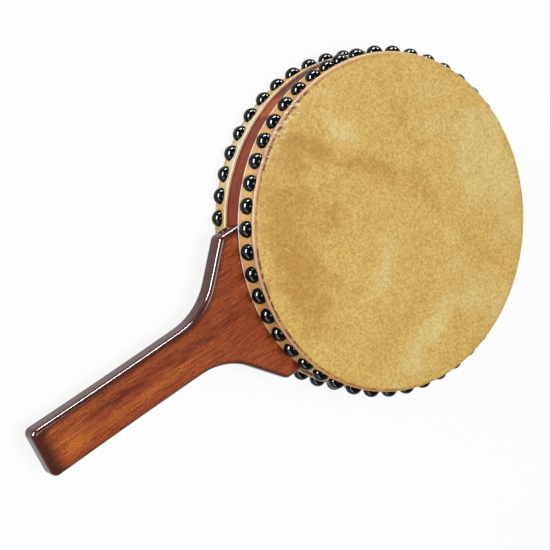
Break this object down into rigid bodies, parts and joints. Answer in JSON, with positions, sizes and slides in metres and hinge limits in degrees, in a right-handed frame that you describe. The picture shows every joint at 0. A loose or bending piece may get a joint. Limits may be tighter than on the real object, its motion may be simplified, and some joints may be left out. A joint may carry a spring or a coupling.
{
  "type": "double-headed handle drum",
  "caption": "Shallow round drum with a hide on each side, each held by a row of domed studs, and a flat yoke handle fixed to the shell.",
  "frame": {"origin": "middle of the back head's outer face, on the drum's axis, with the drum lying on that head", "axes": "+Z along the drum's axis from the back head to the front head, -Y along the handle towards its butt, X across the handle"},
  "size_m": [0.2198, 0.3703, 0.0463],
  "materials": {
    "hide": "satin, mottled tan and cream rawhide",
    "black_enamel": "gloss black",
    "shell_wood": "stained dark red-brown, satin",
    "handle_wood": "stained red-brown, gloss lacquer",
    "screw_steel": "plain steel"
  },
  "bodies": {
    "root": {"shell": "shell_wood", "front_head": "hide", "back_head": "hide", "handle": "handle_wood", "front_stud_01": "black_enamel", "front_stud_02": "black_enamel", "front_stud_03": "black_enamel", "front_stud_04": "black_enamel", "front_stud_05": "black_enamel", "front_stud_06": "black_enamel", "front_stud_07": "black_enamel", "front_stud_08": "black_enamel", "front_stud_09": "black_enamel", "front_stud_10": "black_enamel", "front_stud_11": "black_enamel", "front_stud_12": "black_enamel", "front_stud_13": "black_enamel", "front_stud_14": "black_enamel", "front_stud_15": "black_enamel", "front_stud_16": "black_enamel", "front_stud_17": "black_enamel", "front_stud_18": "black_enamel", "front_stud_19": "black_enamel", "front_stud_20": "black_enamel", "front_stud_21": "black_enamel", "front_stud_22": "black_enamel", "front_stud_23": "black_enamel", "front_stud_24": "black_enamel", "front_stud_25": "black_enamel", "front_stud_26": "black_enamel", "front_stud_27": "black_enamel", "front_stud_28": "black_enamel", "front_stud_29": "black_enamel", "front_stud_30": "black_enamel", "front_stud_31": "black_enamel", "front_stud_32": "black_enamel", "front_stud_33": "black_enamel", "front_stud_34": "black_enamel", "front_stud_35": "black_enamel", "front_stud_36": "black_enamel", "front_stud_37": "black_enamel", "front_stud_38": "black_enamel", "front_stud_39": "black_enamel", "front_stud_40": "black_enamel", "front_stud_41": "black_enamel", "front_stud_42": "black_enamel", "front_stud_43": "black_enamel", "front_stud_44": "black_enamel", "front_stud_45": "black_enamel", "front_stud_46": "black_enamel", "front_stud_47": "black_enamel", "front_stud_48": "black_enamel", "front_stud_49": "black_enamel", "handle_screw_1": "screw_steel", "handle_screw_2": "screw_steel", "handle_screw_3": "screw_steel"}
  },
  "joints": []
}
